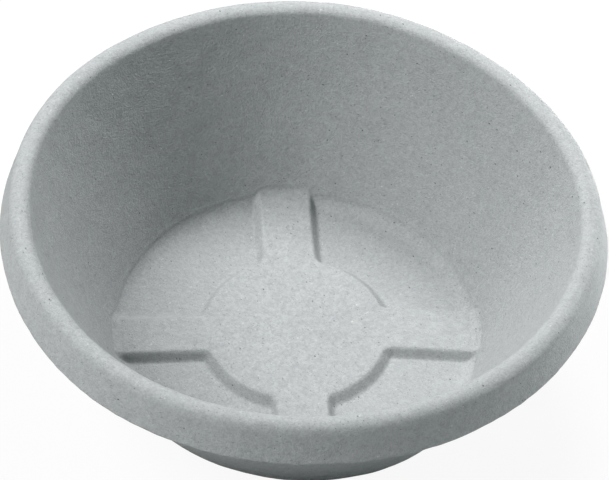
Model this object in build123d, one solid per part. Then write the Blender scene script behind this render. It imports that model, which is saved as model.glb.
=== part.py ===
from build123d import *
from math import acos, atan, atan2, cos, degrees, hypot, pi, sin, tan
import os

# Moulded-pulp wash bowl, in millimetres.
# Origin: the middle of the circle that the bowl stands on. +Z is up, along the bowl's axis.
# The real bowl is one moulding. Each solid here is one zone of it, and the zones meet face to face.

# Driving dimensions
outside_diameter = 315.0    # across the skirt of the rim
height = 112.5              # table to the crest of the rim
thickness = 2.6             # of the pulp
crest_diameter = 293.0      # circle along the crest of the rim
inner_roll = 7.0            # the rim curls this far in and down, from its crest to the wall
outer_roll = 6.3            # radius of the curl outside the crest
skirt_drop = 20.5           # crest to the lower edge of the flared skirt
floor_level = 3.0           # top of the four lower floor segments
floor_corner_radius = 97.0  # where wall and floor would meet without a fillet
floor_fillet = 9.0          # inside corner between wall and floor
foot_chamfer = 1.5          # outside corner at the table
foot_width = 8.0            # flat ring that the bowl stands on
relief_height = 5.5         # raised disc and arms, above the floor segments
disc_radius = 49.3          # top of the raised disc
disc_slope_run = 4.6        # the disc's side runs out this far on its way down
arm_width = 27.5            # top of a raised arm
arm_slope_run = 3.0         # an arm's side runs out this far on its way down
arm_turns = (3.5, 96.5, 187.0, 276.5)  # direction of each arm, in degrees from +X

# Worked out from the driving dimensions
outer_radius = outside_diameter / 2
crest_radius = crest_diameter / 2
flare = outer_radius - crest_radius
roll_to_edge = skirt_drop - outer_roll
skirt_lean = acos(outer_roll / hypot(flare, roll_to_edge)) - atan2(roll_to_edge, flare)
skirt_top = height - outer_roll * (1 - sin(skirt_lean))
wall_top = height - inner_roll
wall_top_radius = crest_radius - inner_roll
wall_lean = atan((wall_top_radius - floor_corner_radius) / (wall_top - floor_level))
wall_offset = thickness / cos(wall_lean)
fillet_reach = floor_fillet * tan((pi / 2 - wall_lean) / 2)
wall_foot = floor_level + fillet_reach * cos(wall_lean)
floor_radius = floor_corner_radius - fillet_reach
floor_underside = floor_level - thickness
plateau = floor_level + relief_height


def wall_radius(level):
    """Inside radius of the conical wall at a height."""
    return floor_corner_radius + (level - floor_level) * tan(wall_lean)


foot_outer_radius = wall_radius(0) + wall_offset - foot_chamfer
foot_inner_radius = foot_outer_radius - foot_width


def ring(section):
    """A closed section in the XZ plane, turned about the bowl's axis."""
    return revolve(Plane.XZ * section, Axis.Z)


def rim_section():
    """The rim's curl: in from the wall, over the crest, and out into the flared skirt."""
    inner_middle = (crest_radius, wall_top)
    outer_middle = (crest_radius, height - outer_roll)
    lean = degrees(skirt_lean)
    skirt_edge = height - skirt_drop
    with BuildSketch() as section:
        with BuildLine():
            EllipticalCenterArc(inner_middle, inner_roll, inner_roll, 90, arc_size=90)
            outside = CenterArc(outer_middle, outer_roll, lean, 90 - lean)
            underside = CenterArc(outer_middle, outer_roll - thickness, lean, 90 - lean)
            Polyline(
                outside @ 0,
                (outer_radius, skirt_edge),
                (outer_radius - thickness / cos(skirt_lean), skirt_edge),
                underside @ 0,
            )
            EllipticalCenterArc(
                inner_middle, inner_roll - wall_offset, inner_roll - thickness, 90, arc_size=90
            )
            Line((wall_top_radius + wall_offset, wall_top), (wall_top_radius, wall_top))
        make_face()
    return section.sketch


def rim_part(inner, outer, bottom, top):
    """The part of the rim's curl between two radii and two heights."""
    window = Rectangle(outer - inner, top - bottom, align=Align.MIN)
    return ring(rim_section() & Pos(inner, bottom) * window)


def rim_inner_curl():
    """From the top of the wall up to the crest."""
    return rim_part(0, crest_radius, 0, height)


def rim_outer_curl():
    """From the crest round to the top of the skirt."""
    return rim_part(crest_radius, outer_radius, skirt_top, height)


def rim_skirt():
    """Downturned outer edge of the rim, flared outwards."""
    return rim_part(crest_radius, outer_radius, 0, skirt_top)


def side_wall():
    """Conical wall between the rim and the foot ring."""
    foot_radius = wall_radius(wall_foot)
    with BuildSketch() as section:
        Polygon(
            (wall_top_radius, wall_top),
            (wall_top_radius + wall_offset, wall_top),
            (foot_radius + wall_offset, wall_foot),
            (foot_radius, wall_foot),
            align=None,
        )
    return ring(section.sketch)


def foot_ring():
    """Foot of the wall with the fillet inside it, notched for the ends of the arms."""
    foot_radius = wall_radius(wall_foot)
    fillet_middle = (floor_radius, floor_level + floor_fillet)
    with BuildSketch() as section:
        with BuildLine():
            CenterArc(fillet_middle, floor_fillet, -90, 90 - degrees(wall_lean))
            Polyline(
                (foot_radius, wall_foot),
                (foot_radius + wall_offset, wall_foot),
                (wall_radius(foot_chamfer) + wall_offset, foot_chamfer),
                (foot_outer_radius, 0),
                (foot_inner_radius, 0),
                (foot_inner_radius, floor_level),
                (floor_radius, floor_level),
            )
        make_face()
    return ring(section.sketch) - (inside_wall(-1, plateau) & relief(-1, plateau))


def inside_wall(bottom, top):
    """The space inside the conical wall between two heights."""
    upright = (Align.CENTER, Align.CENTER, Align.MIN)
    return Pos(0, 0, bottom) * Cone(wall_radius(bottom), wall_radius(top), top - bottom, align=upright)


def relief(bottom, top, inset=0.0):
    """Disc and four arms: sloping sides above the floor segments, upright sides below."""

    def between(outline, low, high):
        return loft([Pos(0, 0, low) * outline(low), Pos(0, 0, high) * outline(high)])

    def spread(level):
        return min(1.0, (plateau - level) / relief_height)

    def disc(level):
        return Circle(disc_radius + disc_slope_run * spread(level) - inset)

    def arm(level):
        width = arm_width + 2 * (arm_slope_run * spread(level) - inset)
        return Rectangle(outer_radius, width, align=(Align.MIN, Align.CENTER))

    shape = between(disc, bottom, floor_level) + between(disc, floor_level, top)
    one_arm = between(arm, bottom, floor_level) + between(arm, floor_level, top)
    for turn in arm_turns:
        shape += Rot(0, 0, turn) * one_arm
    return shape


def raised_cross():
    """Raised disc with four arms that run out to the wall, hollow beneath."""
    outside = inside_wall(floor_underside, plateau) & relief(floor_underside, plateau)
    return outside - relief(-1, plateau - thickness, inset=thickness)


def floor_segments():
    """The four lower parts of the floor, between the arms and inside the foot ring."""
    layer = Cylinder(foot_inner_radius, thickness, align=(Align.CENTER, Align.CENTER, Align.MIN))
    quarters = Pos(0, 0, floor_underside) * layer - relief(-1, plateau)
    return quarters.solids().sort_by(lambda solid: Vector(1, 0, 0).get_signed_angle(solid.center()))


nodes = {
    "rim_inner_curl": rim_inner_curl(),
    "rim_outer_curl": rim_outer_curl(),
    "rim_skirt": rim_skirt(),
    "side_wall": side_wall(),
    "foot_ring": foot_ring(),
    "raised_cross": raised_cross(),
}
for number, segment in enumerate(floor_segments(), start=1):
    nodes[f"floor_segment_{number}"] = segment

os.makedirs("parts", exist_ok=True)
for name, solid in nodes.items():
    export_step(solid, f"parts/{name}.step")
    print(name, round(solid.volume / 1000, 2), "cm3", solid.bounding_box().size)
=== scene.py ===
from math import acos, atan, atan2, cos, pi, radians, sin, tan

import bpy
import numpy as np
from mathutils import Matrix, Vector, noise


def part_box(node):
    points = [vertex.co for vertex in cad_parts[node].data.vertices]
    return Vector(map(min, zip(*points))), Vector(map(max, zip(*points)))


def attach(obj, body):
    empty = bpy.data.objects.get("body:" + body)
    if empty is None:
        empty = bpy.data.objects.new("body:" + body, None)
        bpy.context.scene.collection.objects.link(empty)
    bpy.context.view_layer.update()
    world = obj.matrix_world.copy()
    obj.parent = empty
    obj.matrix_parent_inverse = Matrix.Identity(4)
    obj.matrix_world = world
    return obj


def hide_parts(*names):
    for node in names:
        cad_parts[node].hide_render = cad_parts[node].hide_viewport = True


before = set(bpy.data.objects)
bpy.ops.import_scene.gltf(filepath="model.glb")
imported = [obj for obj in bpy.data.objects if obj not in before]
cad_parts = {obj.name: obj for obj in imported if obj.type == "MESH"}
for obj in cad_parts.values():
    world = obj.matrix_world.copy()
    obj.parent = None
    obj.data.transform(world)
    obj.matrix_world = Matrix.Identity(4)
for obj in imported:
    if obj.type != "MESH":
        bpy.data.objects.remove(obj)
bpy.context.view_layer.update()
mm = 0.001

# ---------------------------------------------------------------- sizes, read from the frame

curl_low, curl_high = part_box("rim_inner_curl")
roll_low, roll_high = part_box("rim_outer_curl")
skirt_low, skirt_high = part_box("rim_skirt")
wall_low, wall_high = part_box("side_wall")
ring_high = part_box("foot_ring")[1]
segment_low, segment_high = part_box("floor_segment_1")
cross_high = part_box("raised_cross")[1]

height = curl_high.z
crest_radius = curl_high.x
wall_top = curl_low.z
roll_reach = roll_high.x - crest_radius
roll_drop = height - roll_low.z
outer_roll = (roll_reach**2 + roll_drop**2) / (2 * roll_drop)
skirt_lean = acos(roll_reach / outer_roll)
outer_radius = skirt_high.x
skirt_top = skirt_high.z
skirt_edge = skirt_low.z
thickness = segment_high.z - segment_low.z
floor_level = segment_high.z
plateau = cross_high.z
relief_height = plateau - floor_level
wall_foot = wall_low.z
wall_slope = (wall_high.x - ring_high.x) / (wall_top - wall_foot)
wall_lean = atan(wall_slope)
wall_offset = thickness / cos(wall_lean)
wall_top_radius = wall_high.x - wall_offset

# The floor's relief and the small roundings, which no box shows
disc_radius = 49.3 * mm
disc_slope_run = 4.6 * mm
edge_softness = 1.1 * mm
floor_fillet = 9.0 * mm
arm_fillet = 7.0 * mm
foot_chamfer = 1.5 * mm
foot_width = 8.0 * mm
foot_bevel = (0.9 * mm, 0.35 * mm)
hollow_inset = 4.2 * mm
hollow_slope_run = 1.3 * mm
edge_rounding = 0.7 * mm
ledge_height = 0.15 * mm
ledge_reach = 1.3 * mm
ledge_rise = 1.6 * mm
# Parts of the wall's height that the ledge takes, and that the columns need to turn back to even
ledge_share = 0.06
unfollow_share = 0.35


class Arm:
    """A raised arm: its direction, how far it lies to the left of it, and for its right side and
    its left side the half width on top and how far the side's slope runs out."""

    def __init__(self, turn, offset, right_side, left_side):
        self.turn = radians(turn)
        self.offset = offset * mm
        self.half_width = {-1: right_side[0] * mm, 1: left_side[0] * mm}
        self.slope_run = {-1: right_side[1] * mm, 1: left_side[1] * mm}


arms = [
    Arm(1.0, 3.0, (13.75, 3.0), (14.0, 3.4)),
    Arm(96.5, 0.0, (13.75, 3.4), (14.2, 4.2)),
    Arm(187.5, 0.0, (9.4, 7.5), (13.4, 3.0)),
    Arm(276.5, 0.0, (13.5, 3.0), (13.5, 3.0)),
]


def wall_radius(level):
    """Inside radius of the conical wall at a height."""
    return wall_top_radius - (wall_top - level) * wall_slope


foot_outer_radius = wall_radius(0) + wall_offset - foot_chamfer
foot_inner_radius = foot_outer_radius - foot_width


# ---------------------------------------------------------------- the moulding's grid
# The moulding is one thick sheet. Its grid has rows from the middle of the floor out to the
# skirt's edge and columns round the axis, each with a point on the top and one on the underside.

columns_per_quarter = 160
half_quarter = columns_per_quarter // 2
columns = 4 * columns_per_quarter
seam_column = 24
seam_margin = 1.2 * mm
# How far inside an arm's edge, and on each side of the disc's slope, the grid becomes closer
arm_margin = 2.3 * mm
slope_margin = 2 * mm
first_row_radius = 1.5 * mm
# Where the columns start to turn from even spacing to following the arms, and over what run
follow_start = 28 * mm
follow_run = 14 * mm
# Near the middle the arms' sides spread no wider than this sine allows
widest_sine = 0.69


def beside_arm(arm, side):
    """Distances from an arm's middle line that the columns keep to, closest on its sloping side."""
    side_start = arm.half_width[side] - arm_margin
    seam = arm.half_width[side] + arm.slope_run[side] + seam_margin
    on_top = np.linspace(0, side_start, seam_column // 2 + 1)
    return np.concatenate([on_top[:-1], np.linspace(side_start, seam, seam_column // 2 + 1)])


def soft_step(distance, run, softness):
    """1 before a straight ramp and 0 after it, with both ends of the ramp rounded."""

    def hinge(x):
        return np.where(x > softness, x, np.where(x < -softness, 0, (x + softness) ** 2 / (4 * softness)))

    return 1 - (hinge(distance) - hinge(distance - run)) / run


def side_angles(arm, side, radius, last):
    """Angles of the columns from an arm's middle line to the angle halfway to the next arm."""
    distances = arm.offset + side * beside_arm(arm, side)
    along = arm.turn + np.arcsin(np.clip(distances / radius, -widest_sine, widest_sine))
    between = np.linspace(along[-1], last, half_quarter + 1 - seam_column)[1:]
    return np.concatenate([along, between])


def column_angles(radius, follow_arms):
    """Angle of each column at a radius. With follow_arms 1 the columns run along the arms' sides."""
    mean_turn = sum(arm.turn for arm in arms) / 4 - 3 * pi / 4
    even = mean_turn + np.arange(columns) * 2 * pi / columns
    if follow_arms == 0:
        return even
    following = []
    for k, arm in enumerate(arms):
        turn_after = arms[(k + 1) % 4].turn + (2 * pi if k == 3 else 0)
        middle = (arm.turn + turn_after) / 2
        following += list(side_angles(arm, 1, radius, middle)[:half_quarter])
        before = side_angles(arms[(k + 1) % 4], -1, radius, middle - (2 * pi if k == 3 else 0))
        following += list(before[half_quarter:0:-1] + (2 * pi if k == 3 else 0))
    return even + follow_arms * (np.array(following) - even)


def arm_share(radius, angles, inset=0.0):
    """1 on an arm, 0 beside it, between 0 and 1 on its side."""
    shares = np.zeros(columns)
    for arm in arms:
        ahead = np.cos(angles - arm.turn) > 0
        lateral = radius * np.sin(angles - arm.turn) - arm.offset
        for side in (-1, 1):
            distance = side * lateral - arm.half_width[side] + inset
            share = soft_step(distance, arm.slope_run[side], edge_softness)
            shares = np.where(ahead & (side * lateral >= 0), np.maximum(shares, share), shares)
    return shares


def disc_share(radius, inset=0.0):
    return soft_step(radius - disc_radius + inset, disc_slope_run, edge_softness)


def circle_points(angles, radius, level):
    """A point at each angle. The radius and the level are numbers, or have a value for each angle."""
    return np.stack([radius * np.cos(angles), radius * np.sin(angles), level * np.ones(columns)], axis=1)


class Row:
    """One row of the grid: its points on the top and on the underside, and the zone beyond it."""

    def __init__(self, angles, top_radius, top, under_radius, under, zone):
        self.zone = zone
        self.top = circle_points(angles, top_radius, top)
        self.under = circle_points(angles, under_radius, under)


def floor_rows():
    """Raised disc, arms and floor segments, out to the foot ring."""
    slope_start = disc_radius - slope_margin
    slope_end = disc_radius + disc_slope_run + slope_margin
    across_disc = np.linspace(first_row_radius, slope_start, 32)
    down_side = np.linspace(slope_start, slope_end, 15)[1:]
    to_ring = np.linspace(slope_end, foot_inner_radius, 28)[1:]
    rows = []
    for radius in np.concatenate([across_disc, down_side, to_ring]):
        follow = min(1.0, max(0.0, (radius - follow_start) / follow_run))
        angles = column_angles(radius, follow)
        raised = 1 - (1 - disc_share(radius)) * (1 - arm_share(radius, angles))
        hollow = 1 - (1 - disc_share(radius, thickness)) * (1 - arm_share(radius, angles, thickness))
        top = floor_level + relief_height * raised
        under = floor_level - thickness + relief_height * hollow
        zone = "disc" if radius < slope_end else "floor"
        rows.append(Row(angles, radius, top, radius, under, zone))
    rows[-1].zone = "foot_ring"
    return rows


def path_points(corners, counts):
    """Points along straight runs between corners of (radius, level), without the first corner."""
    runs = [np.linspace(a, b, n + 1)[1:] for a, b, n in zip(corners, corners[1:], counts)]
    return np.concatenate(runs)


def fillet_path(level, fillet):
    """From the foot ring's inner edge along the floor and round the fillet to the wall."""
    turns = np.linspace(0, pi / 2 - wall_lean, 12)
    start = wall_radius(level) - fillet * tan((pi / 2 - wall_lean) / 2)
    arc = np.stack([start + fillet * np.sin(turns), level + fillet * (1 - np.cos(turns))], axis=1)
    return np.concatenate([path_points([(foot_inner_radius, level), arc[0]], [4])[:-1], arc])


def foot_rows():
    """Foot ring: the fillet on top, and below it the flat that the bowl stands on."""
    wall_outside = (wall_radius(foot_chamfer) + wall_offset, foot_chamfer)
    wall_end = (wall_radius(wall_foot) + wall_offset, wall_foot)
    bevel_end = (foot_outer_radius + foot_bevel[0], foot_bevel[1])
    foot_edge = [(foot_outer_radius, 0), bevel_end, wall_outside, wall_end]
    hollow_top = plateau - thickness
    hollow_end = foot_outer_radius - hollow_inset
    hollow_foot = (hollow_end + hollow_slope_run, 0)
    hollow_edge = [(foot_inner_radius, hollow_top), (hollow_end, hollow_top), hollow_foot]
    paths = [
        fillet_path(floor_level, floor_fillet),
        fillet_path(plateau, arm_fillet),
        path_points([(foot_inner_radius, 0)] + foot_edge, [7, 2, 2, 4]),
        path_points(hollow_edge + foot_edge, [4, 3, 1, 1, 2, 4]),
    ]
    rows = []
    for beside_top, arm_top, beside_under, arm_under in zip(*paths):
        angles = column_angles(beside_top[0], 1)
        raised = arm_share(beside_top[0], angles)[:, None]
        hollow = arm_share(beside_top[0], angles, thickness)[:, None]
        top = beside_top + (arm_top - beside_top) * raised
        under = beside_under + (arm_under - beside_under) * hollow
        rows.append(Row(angles, top[:, 0], top[:, 1], under[:, 0], under[:, 1], "foot_ring"))
    rows[-1].zone = "side_wall"
    return rows, top


def wall_rows(start):
    """Conical wall, with a low ledge round its foot. start holds each column's radius and level
    where its fillet ends."""
    rows = []
    for share in np.concatenate([np.linspace(0, ledge_share, 8)[1:], np.linspace(ledge_share, 1, 60)[1:]]):
        top = start + (np.array([wall_top_radius, wall_top]) - start) * share
        from_ledge = (top[:, 1] - start[:, 1] - ledge_rise) / ledge_reach
        top[:, 0] -= ledge_height * np.exp(-from_ledge**2)
        under = wall_foot + (wall_top - wall_foot) * share
        follow = max(0.0, 1 - share / unfollow_share)
        angles = column_angles(wall_radius(under), follow * follow * (3 - 2 * follow))
        under_radius = wall_radius(under) + wall_offset
        rows.append(Row(angles, top[:, 0], top[:, 1], under_radius, under, "side_wall"))
    rows[-1].zone = "rim_inner_curl"
    return rows


def rim_rows():
    """The rim's curl, from the wall over the crest, and down to the skirt's edge."""
    angles = column_angles(outer_radius, 0)
    rows = []
    curl = height - wall_top
    inner_roll = curl * (cos(wall_lean) - sin(wall_lean)) / (1 - sin(wall_lean))
    for turn in np.linspace(wall_lean, pi / 2, 12):
        top = (crest_radius - inner_roll * cos(turn), height - inner_roll * (1 - sin(turn)))
        small = inner_roll - thickness
        under = (crest_radius - small * cos(turn), height - inner_roll + small * sin(turn))
        rows.append(Row(angles, *top, *under, "rim_inner_curl"))
    rows[-1].zone = "rim_outer_curl"
    for turn in np.linspace(pi / 2, skirt_lean, 13)[1:]:
        top = (crest_radius + outer_roll * cos(turn), height - outer_roll * (1 - sin(turn)))
        small = outer_roll - thickness
        under = (crest_radius + small * cos(turn), height - outer_roll + small * sin(turn))
        rows.append(Row(angles, *top, *under, "rim_outer_curl"))
    rows[-1].zone = "rim_skirt"
    edge_top = (outer_radius - edge_rounding * tan(skirt_lean), skirt_edge + edge_rounding)
    edge_under = (edge_top[0] - thickness / cos(skirt_lean), edge_top[1])
    down = zip(np.linspace(top, edge_top, 19)[1:], np.linspace(under, edge_under, 19)[1:])
    for on_top, on_under in down:
        rows.append(Row(angles, *on_top, *on_under, "rim_skirt"))
    for turn in (radians(45), radians(80)):
        inset = edge_rounding * (1 - cos(turn))
        level = skirt_edge + edge_rounding * (1 - sin(turn))
        rows.append(Row(angles, edge_top[0] - inset, level, edge_under[0] + inset, level, "rim_skirt"))
    return rows


foot, wall_start = foot_rows()
rows = floor_rows() + foot + wall_rows(wall_start) + rim_rows()
row_count = len(rows)
middle_top = 2 * row_count * columns
middle_under = middle_top + 1
middle_points = [[[0, 0, plateau], [0, 0, plateau - thickness]]]
points = np.concatenate([row.top for row in rows] + [row.under for row in rows] + middle_points)


# ---------------------------------------------------------------- the closed surface, and its wear

# Waves round the rim, as number, depth in mm and the direction of a peak in degrees
rim_waves = [(1, 0.7, -60), (2, 0.8, -30), (3, 0.8, 0), (4, 0.4, -20), (5, 0.4, 15)]
# Bulges of the foot, as depth in mm, direction and reach to each side in degrees
foot_bulges = [(3.0, -42, 42), (-1.2, -105, 40)]
foot_warp_height = 30 * mm
rim_wave_power = 1.5
# Size and depth of the slow warp, the dents, the felting and the ragged lower edge
warp_size, warp_depth = 80 * mm, 0.5 * mm
dent_size, dent_depth = 17 * mm, 0.25 * mm
felt_size, felt_depth = 4.2 * mm, 0.08 * mm
edge_size, edge_depth = 6 * mm, 0.5 * mm
# The slow warp depends on this seed, which would otherwise come from the clock
noise.seed_set(1)


def top_point(i, j):
    return i * columns + j % columns


def under_point(i, j):
    return (row_count + i) * columns + j % columns


def sheet_faces(i, j):
    """Top and underside of the cell between rows i and i + 1 and columns j and j + 1."""
    top = [top_point(i, j), top_point(i + 1, j), top_point(i + 1, j + 1), top_point(i, j + 1)]
    under = [under_point(i, j), under_point(i, j + 1), under_point(i + 1, j + 1), under_point(i + 1, j)]
    return [top, under]


def fan_faces(j):
    """Top and underside triangles at the middle of the floor."""
    return [
        [middle_top, top_point(0, j), top_point(0, j + 1)],
        [middle_under, under_point(0, j + 1), under_point(0, j)],
    ]


def closing_face(a, b):
    """Face across the sheet's thickness, along the edge from a to b of the face above it."""
    return [top_point(*b), top_point(*a), under_point(*a), under_point(*b)]


def mesh_from(name, coordinates, faces):
    mesh = bpy.data.meshes.new(name)
    mesh.from_pydata(coordinates, [], faces)
    mesh.polygons.foreach_set("use_smooth", [True] * len(mesh.polygons))
    mesh.update()
    return mesh


def vertex_normals(mesh):
    values = np.empty(len(mesh.vertices) * 3)
    mesh.vertex_normals.foreach_get("vector", values)
    return values.reshape(-1, 3)


def out_of_round(place):
    """How far the drying bowl has moved out from the true circle here: most at the rim."""
    direction = atan2(place.y, place.x)
    rim_share = (place.z / height) ** rim_wave_power
    foot_share = max(0.0, 1 - place.z / foot_warp_height)
    moved = 0.0
    for waves, depth, peak in rim_waves:
        moved += rim_share * depth * cos(waves * (direction - radians(peak)))
    for depth, peak, reach in foot_bulges:
        from_peak = abs((direction - radians(peak) + pi) % (2 * pi) - pi) / radians(reach)
        if from_peak < 1 and place.xy.length > foot_inner_radius:
            moved += foot_share * depth * cos(from_peak * pi / 2) ** 2
    return moved * mm


def worn(place, normal):
    """Where a point of the ideal moulding lies on the real one: a slow warp, dents and felting."""
    p = Vector(place)
    if p.xy.length > 0:
        p.xy += p.xy.normalized() * out_of_round(p)
    warp = noise.noise_vector(p / warp_size) * warp_depth
    dents = noise.noise(p / dent_size + Vector((9, 0, 0))) * dent_depth
    felt = noise.noise(p / felt_size + Vector((0, 7, 0))) * felt_depth
    moved = p + warp + Vector(normal) * (dents + felt)
    at_edge = min(1.0, max(0.0, (skirt_top - p.z) / (skirt_top - skirt_edge)))
    if p.xy.length > crest_radius:
        moved.z += at_edge * noise.noise(p / edge_size + Vector((0, 0, 5))) * edge_depth
    moved.z = max(moved.z, 0)
    return moved


whole_faces = [face for i in range(row_count - 1) for j in range(columns) for face in sheet_faces(i, j)]
whole_faces += [face for j in range(columns) for face in fan_faces(j)]
whole_faces += [closing_face((row_count - 1, j), (row_count - 1, j + 1)) for j in range(columns)]
whole = mesh_from("whole", points, whole_faces)
points = np.array([worn(place, normal) for place, normal in zip(points, vertex_normals(whole))])
whole.vertices.foreach_set("co", points.ravel())
whole.update()
normals = vertex_normals(whole)
bpy.data.meshes.remove(whole)


# ---------------------------------------------------------------- one closed piece for each zone

def segment_nodes():
    """The floor segment between each arm and the next one round."""
    names = [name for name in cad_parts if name.startswith("floor_segment_")]
    found = []
    for k, arm in enumerate(arms):
        between = Vector((cos(arm.turn + pi / 4), sin(arm.turn + pi / 4), 0))
        found.append(max(names, key=lambda name: sum(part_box(name), Vector()).dot(between)))
    return found


segments = segment_nodes()


def zone_of(i, j):
    """The CAD node that the cell beyond row i and column j belongs to."""
    zone = rows[i].zone
    beyond_arm = j % columns_per_quarter
    on_arm = beyond_arm < seam_column or beyond_arm >= columns_per_quarter - seam_column
    if zone == "disc" or zone == "floor" and on_arm:
        return "raised_cross"
    if zone == "floor":
        return segments[j // columns_per_quarter]
    return zone


zones = [[zone_of(i, j) for j in range(columns)] for i in range(row_count - 1)]


def zone_faces(zone):
    """Faces of a zone's outside, and those that close it where it joins its neighbours."""
    outside = []
    joins = []
    for i in range(row_count - 1):
        for j in range(columns):
            if zones[i][j] != zone:
                continue
            outside += sheet_faces(i, j)
            if i == 0:
                outside += fan_faces(j)
            elif zones[i - 1][j] != zone:
                joins.append(closing_face((i, j + 1), (i, j)))
            if i == row_count - 2:
                outside.append(closing_face((i + 1, j), (i + 1, j + 1)))
            elif zones[i + 1][j] != zone:
                joins.append(closing_face((i + 1, j), (i + 1, j + 1)))
            if zones[i][j - 1] != zone:
                joins.append(closing_face((i, j), (i + 1, j)))
            if zones[i][(j + 1) % columns] != zone:
                joins.append(closing_face((i + 1, j + 1), (i, j + 1)))
    return outside, joins


def make_piece(node, material):
    """The visual piece of one CAD node. Its outside keeps the whole moulding's normals."""
    outside, joins = zone_faces(node)
    used = sorted({index for face in outside + joins for index in face})
    local = {index: k for k, index in enumerate(used)}
    faces = [[local[index] for index in face] for face in outside + joins]
    mesh = mesh_from("bowl_" + node, points[used], faces)
    corner_normals = [normals[index] for face in outside for index in face]
    for polygon in mesh.polygons[len(outside):]:
        corner_normals += [polygon.normal] * len(polygon.vertices)
    mesh.normals_split_custom_set(corner_normals)
    mesh.materials.append(material)
    piece = bpy.data.objects.new("bowl_" + node, mesh)
    bpy.context.scene.collection.objects.link(piece)
    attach(piece, "root")
    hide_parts(node)
    return piece


# ---------------------------------------------------------------- material

class Nodes:
    """Short calls that build the node tree of a material or of the world, which has no shader."""

    def __init__(self, owner):
        owner.use_nodes = True
        self.tree = owner.node_tree
        self.shader = self.tree.nodes.get("Principled BSDF")

    def add(self, kind, inputs, **settings):
        """New node. Each input, by name or place, takes a value or is joined to a socket."""
        added = self.tree.nodes.new("ShaderNode" + kind)
        for name, value in settings.items():
            setattr(added, name, value)
        for key, value in inputs.items():
            if isinstance(value, bpy.types.NodeSocket):
                self.tree.links.new(value, added.inputs[key])
            else:
                added.inputs[key].default_value = value
        return added

    def math(self, operation, a, b):
        return self.add("Math", {0: a, 1: b}, operation=operation).outputs[0]

    def total(self, terms):
        """Sum of (socket, strength) terms."""
        result = 0.0
        for socket, strength in terms:
            result = self.math("ADD", result, self.math("MULTIPLY", socket, strength))
        return result

    def grain(self, place, per_metre):
        """Noise about zero, with this many blotches to a metre."""
        noise_node = self.add("TexNoise", {"Vector": place, "Scale": per_metre, "Detail": 1.0})
        return self.math("SUBTRACT", noise_node.outputs["Fac"], 0.5)

    def fall(self, value, start, end):
        """1 where the value is below start, 0 where it is above end."""
        limits = {"From Min": start, "From Max": end, "To Min": 1.0, "To Max": 0.0}
        return self.add("MapRange", {"Value": value, **limits}).outputs["Result"]

    def flecks(self, place, turns, cells_per_metre, radius, share):
        """Scattered flecks of random strength up to 1, and 0 elsewhere. They are long where there are
        few cells to a metre. radius is a part of a cell, and share is how many cells have a fleck."""
        turned = self.add("VectorRotate", {"Vector": place, "Rotation": turns}, rotation_type="EULER_XYZ")
        squeezed = self.add(
            "VectorMath", {0: turned.outputs["Vector"], 1: cells_per_metre}, operation="MULTIPLY"
        )
        cells = self.add("TexVoronoi", {"Vector": squeezed.outputs["Vector"], "Scale": 1.0})
        chance = self.add("SeparateColor", {"Color": cells.outputs["Color"]}).outputs["Red"]
        near = self.fall(cells.outputs["Distance"], radius / 2, radius)
        return self.math("MULTIPLY", near, self.fall(chance, 0.0, share))

    def shade_with(self, name, socket):
        """Joins a socket to one of the shader's inputs."""
        self.tree.links.new(socket, self.shader.inputs[name])


pulp_cool = (0.319, 0.336, 0.339, 1)
pulp_warm = (0.323, 0.336, 0.337, 1)
# Blotches to a metre of each grain
fine_grain = 1300
medium_grain = 650
coarse_grain = 320
lump_grain = 150
tint_grain = 60
cloud_grain = 28
# Cells to a metre along a fleck and across it
ink_cells = (170, 300, 300)
small_ink_cells = (420, 640, 640)
pale_cells = (180, 280, 280)
fibre_cells = (110, 800, 800)
# The directions that fibres lie in, as turns about X, Y and Z
dark_fibre_turns = [(0.1, 0.2, 0.4), (0.2, -0.9, 1.5)]
pale_fibre_turns = [(0.3, 0.1, 2.4), (0.2, 1.0, 0.9)]
# The relief's depth, its strength on the rim and lower down, and the levels between which it changes
relief_depth = 0.3 * mm
rim_relief = 0.5
low_relief = 0.85
relief_change = (wall_top - 6 * mm, wall_top + 2 * mm)


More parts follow.
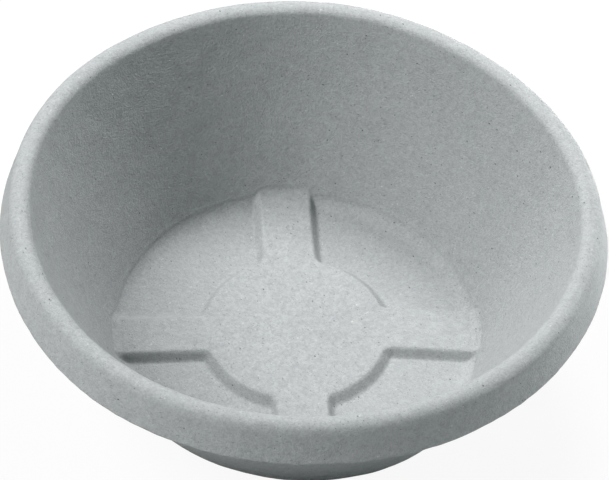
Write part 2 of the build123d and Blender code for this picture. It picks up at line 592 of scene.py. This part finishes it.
def pulp_material():
    """Grey recycled newsprint pulp: felted grain, specks of ink, pale specks and short fibres."""
    material = bpy.data.materials.new("pulp")
    nodes = Nodes(material)
    place = nodes.add("TexCoord", {}).outputs["Object"]
    fine = nodes.grain(place, fine_grain)
    medium = nodes.grain(place, medium_grain)
    coarse = nodes.grain(place, coarse_grain)
    lumps = nodes.grain(place, lump_grain)
    clouds = nodes.grain(place, cloud_grain)
    ink = nodes.flecks(place, (0.1, 0.3, 1.0), ink_cells, radius=0.13, share=0.6)
    small_ink = nodes.flecks(place, (0.4, 0.9, 0.2), small_ink_cells, radius=0.2, share=0.4)
    pale = nodes.flecks(place, (0.2, 0.1, 2.2), pale_cells, radius=0.14, share=0.5)
    dark_fibres = [nodes.flecks(place, turns, fibre_cells, 0.17, 0.5) for turns in dark_fibre_turns]
    pale_fibres = [nodes.flecks(place, turns, fibre_cells, 0.17, 0.5) for turns in pale_fibre_turns]

    shade = nodes.total([
        (fine, 0.24), (medium, 0.32), (coarse, 0.22), (lumps, 0.12), (clouds, 0.07),
        (ink, -0.9), (small_ink, -0.5), (pale, 0.45),
        (dark_fibres[0], -0.5), (dark_fibres[1], -0.5), (pale_fibres[0], 0.4), (pale_fibres[1], 0.4),
    ])
    tint_limits = {"From Min": -0.25, "From Max": 0.25}
    tint = nodes.add("MapRange", {"Value": nodes.grain(place, tint_grain), **tint_limits})
    grey = nodes.add("Mix", {"Factor": tint.outputs["Result"]}, data_type="RGBA")
    grey.inputs["A"].default_value = pulp_cool
    grey.inputs["B"].default_value = pulp_warm
    shaded = {"Vector": grey.outputs["Result"], "Scale": nodes.math("ADD", shade, 1.0)}
    colour = nodes.add("VectorMath", shaded, operation="SCALE")
    nodes.shade_with("Base Color", colour.outputs["Vector"])

    relief = nodes.total([(fine, 0.8), (medium, 0.75), (coarse, 0.4), (lumps, 0.5)])
    level = nodes.add("SeparateXYZ", {"Vector": place}).outputs["Z"]
    below_rim = nodes.fall(level, *relief_change)
    strength = nodes.math("ADD", nodes.math("MULTIPLY", below_rim, low_relief - rim_relief), rim_relief)
    bump = nodes.add("Bump", {"Height": relief, "Distance": relief_depth, "Strength": strength})
    nodes.shade_with("Normal", bump.outputs["Normal"])

    roughness = nodes.math("ADD", nodes.total([(coarse, 0.15), (pale, -0.1)]), 0.9)
    nodes.shade_with("Roughness", roughness)
    nodes.shader.inputs["Specular IOR Level"].default_value = 0.25
    nodes.shader.inputs["Sheen Weight"].default_value = 0.06
    nodes.shader.inputs["Sheen Roughness"].default_value = 0.5
    return material


pulp = pulp_material()
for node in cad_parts:
    make_piece(node, pulp)


# ---------------------------------------------------------------- floor, lights and camera

rim_centre = Vector((0, 0, height))
floor_half = 4
floor_grey = (0.7, 0.7, 0.7, 1)
floor_lift = 0.92
sensor_width = 36
lens_length = 145
camera_elevation = radians(46.6)
camera_distance = 8 * outer_radius
camera_roll = radians(3.55)
# The camera looks this much below the rim's centre
aim_drop = radians(1.02)


def add_floor():
    """Pale matt floor. The camera sees it lifted towards white, so that shadows on it stay faint."""
    corners = [(x * floor_half, y * floor_half, 0) for x, y in ((-1, -1), (1, -1), (1, 1), (-1, 1))]
    mesh = mesh_from("floor", corners, [(0, 1, 2, 3)])
    material = bpy.data.materials.new("pale_floor")
    nodes = Nodes(material)
    nodes.shader.inputs["Base Color"].default_value = floor_grey
    nodes.shader.inputs["Roughness"].default_value = 0.9
    seen = nodes.add("LightPath", {}).outputs["Is Camera Ray"]
    white = nodes.add("Emission", {"Strength": 1.0})
    lifted = nodes.add("MixShader", {
        0: nodes.math("MULTIPLY", seen, floor_lift),
        1: nodes.shader.outputs["BSDF"],
        2: white.outputs["Emission"],
    })
    output = nodes.tree.nodes["Material Output"]
    nodes.tree.links.new(lifted.outputs["Shader"], output.inputs["Surface"])
    mesh.materials.append(material)
    floor = bpy.data.objects.new("floor", mesh)
    bpy.context.scene.collection.objects.link(floor)


def add_soft_light(name, azimuth, elevation, distance, size, power, colour):
    """Square lamp that faces the bowl. Azimuth 0 is behind the bowl, 90 at its right."""
    light = bpy.data.lights.new(name, "AREA")
    light.shape = "SQUARE"
    light.size = size
    light.energy = power
    light.color = colour
    lamp = bpy.data.objects.new(name, light)
    flat = cos(radians(elevation)) * distance
    rise = sin(radians(elevation)) * distance
    offset = Vector((flat * sin(radians(azimuth)), flat * cos(radians(azimuth)), rise))
    lamp.location = rim_centre + offset
    lamp.rotation_euler = offset.to_track_quat("Z", "Y").to_euler()
    lamp.visible_camera = False
    bpy.context.scene.collection.objects.link(lamp)
    return lamp


def add_bounce_card(name, azimuth, distance, width, tall, power):
    """Upright glowing white card that stands on the floor, no higher than the rim, facing the bowl."""
    lamp = add_soft_light(name, azimuth, 0, distance, width, power, (1, 1, 1))
    lamp.data.shape = "RECTANGLE"
    lamp.data.size_y = tall
    lamp.location.z = tall / 2


def add_world(strength, colour):
    """Dim surroundings for the light, which the camera sees as white."""
    world = bpy.data.worlds.new("studio")
    bpy.context.scene.world = world
    nodes = Nodes(world)
    background = nodes.tree.nodes["Background"]
    background.inputs["Color"].default_value = (*colour, 1)
    background.inputs["Strength"].default_value = strength
    white = nodes.add("Background", {"Color": (1, 1, 1, 1), "Strength": 1.0})
    seen = nodes.add("LightPath", {}).outputs["Is Camera Ray"]
    shown = {0: seen, 1: background.outputs["Background"], 2: white.outputs["Background"]}
    surface = nodes.add("MixShader", shown).outputs["Shader"]
    nodes.tree.links.new(surface, nodes.tree.nodes["World Output"].inputs["Surface"])


def add_camera():
    camera = bpy.data.cameras.new("camera")
    camera.sensor_width = sensor_width
    camera.lens = lens_length
    view = bpy.data.objects.new("camera", camera)
    back = Vector((0, -cos(camera_elevation), sin(camera_elevation)))
    right = Vector((1, 0, 0))
    turn = Matrix((right, back.cross(right), back)).transposed()
    turn = turn @ Matrix.Rotation(camera_roll, 3, "Z") @ Matrix.Rotation(-aim_drop, 3, "X")
    view.matrix_world = Matrix.Translation(rim_centre + back * camera_distance) @ turn.to_4x4()
    bpy.context.scene.collection.objects.link(view)
    bpy.context.scene.camera = view


add_floor()
add_soft_light("key", 256, 52, distance=3.0, size=1.5, power=105, colour=(1, 0.985, 0.985))
add_soft_light("back", 17, 49.5, distance=0.9, size=0.25, power=8.9, colour=(1, 0.98, 0.99))
add_soft_light("low_fill", 65, 12, distance=1.6, size=0.7, power=1.8, colour=(0.9, 1, 0.98))
add_bounce_card("right_card", 68, distance=0.6, width=0.45, tall=0.1, power=1.8)
add_bounce_card("front_right_card", 100, distance=0.6, width=0.3, tall=0.1, power=0.65)
add_world(strength=0.13, colour=(0.76, 1, 0.99))
add_camera()
bpy.context.scene.view_settings.view_transform = "Standard"
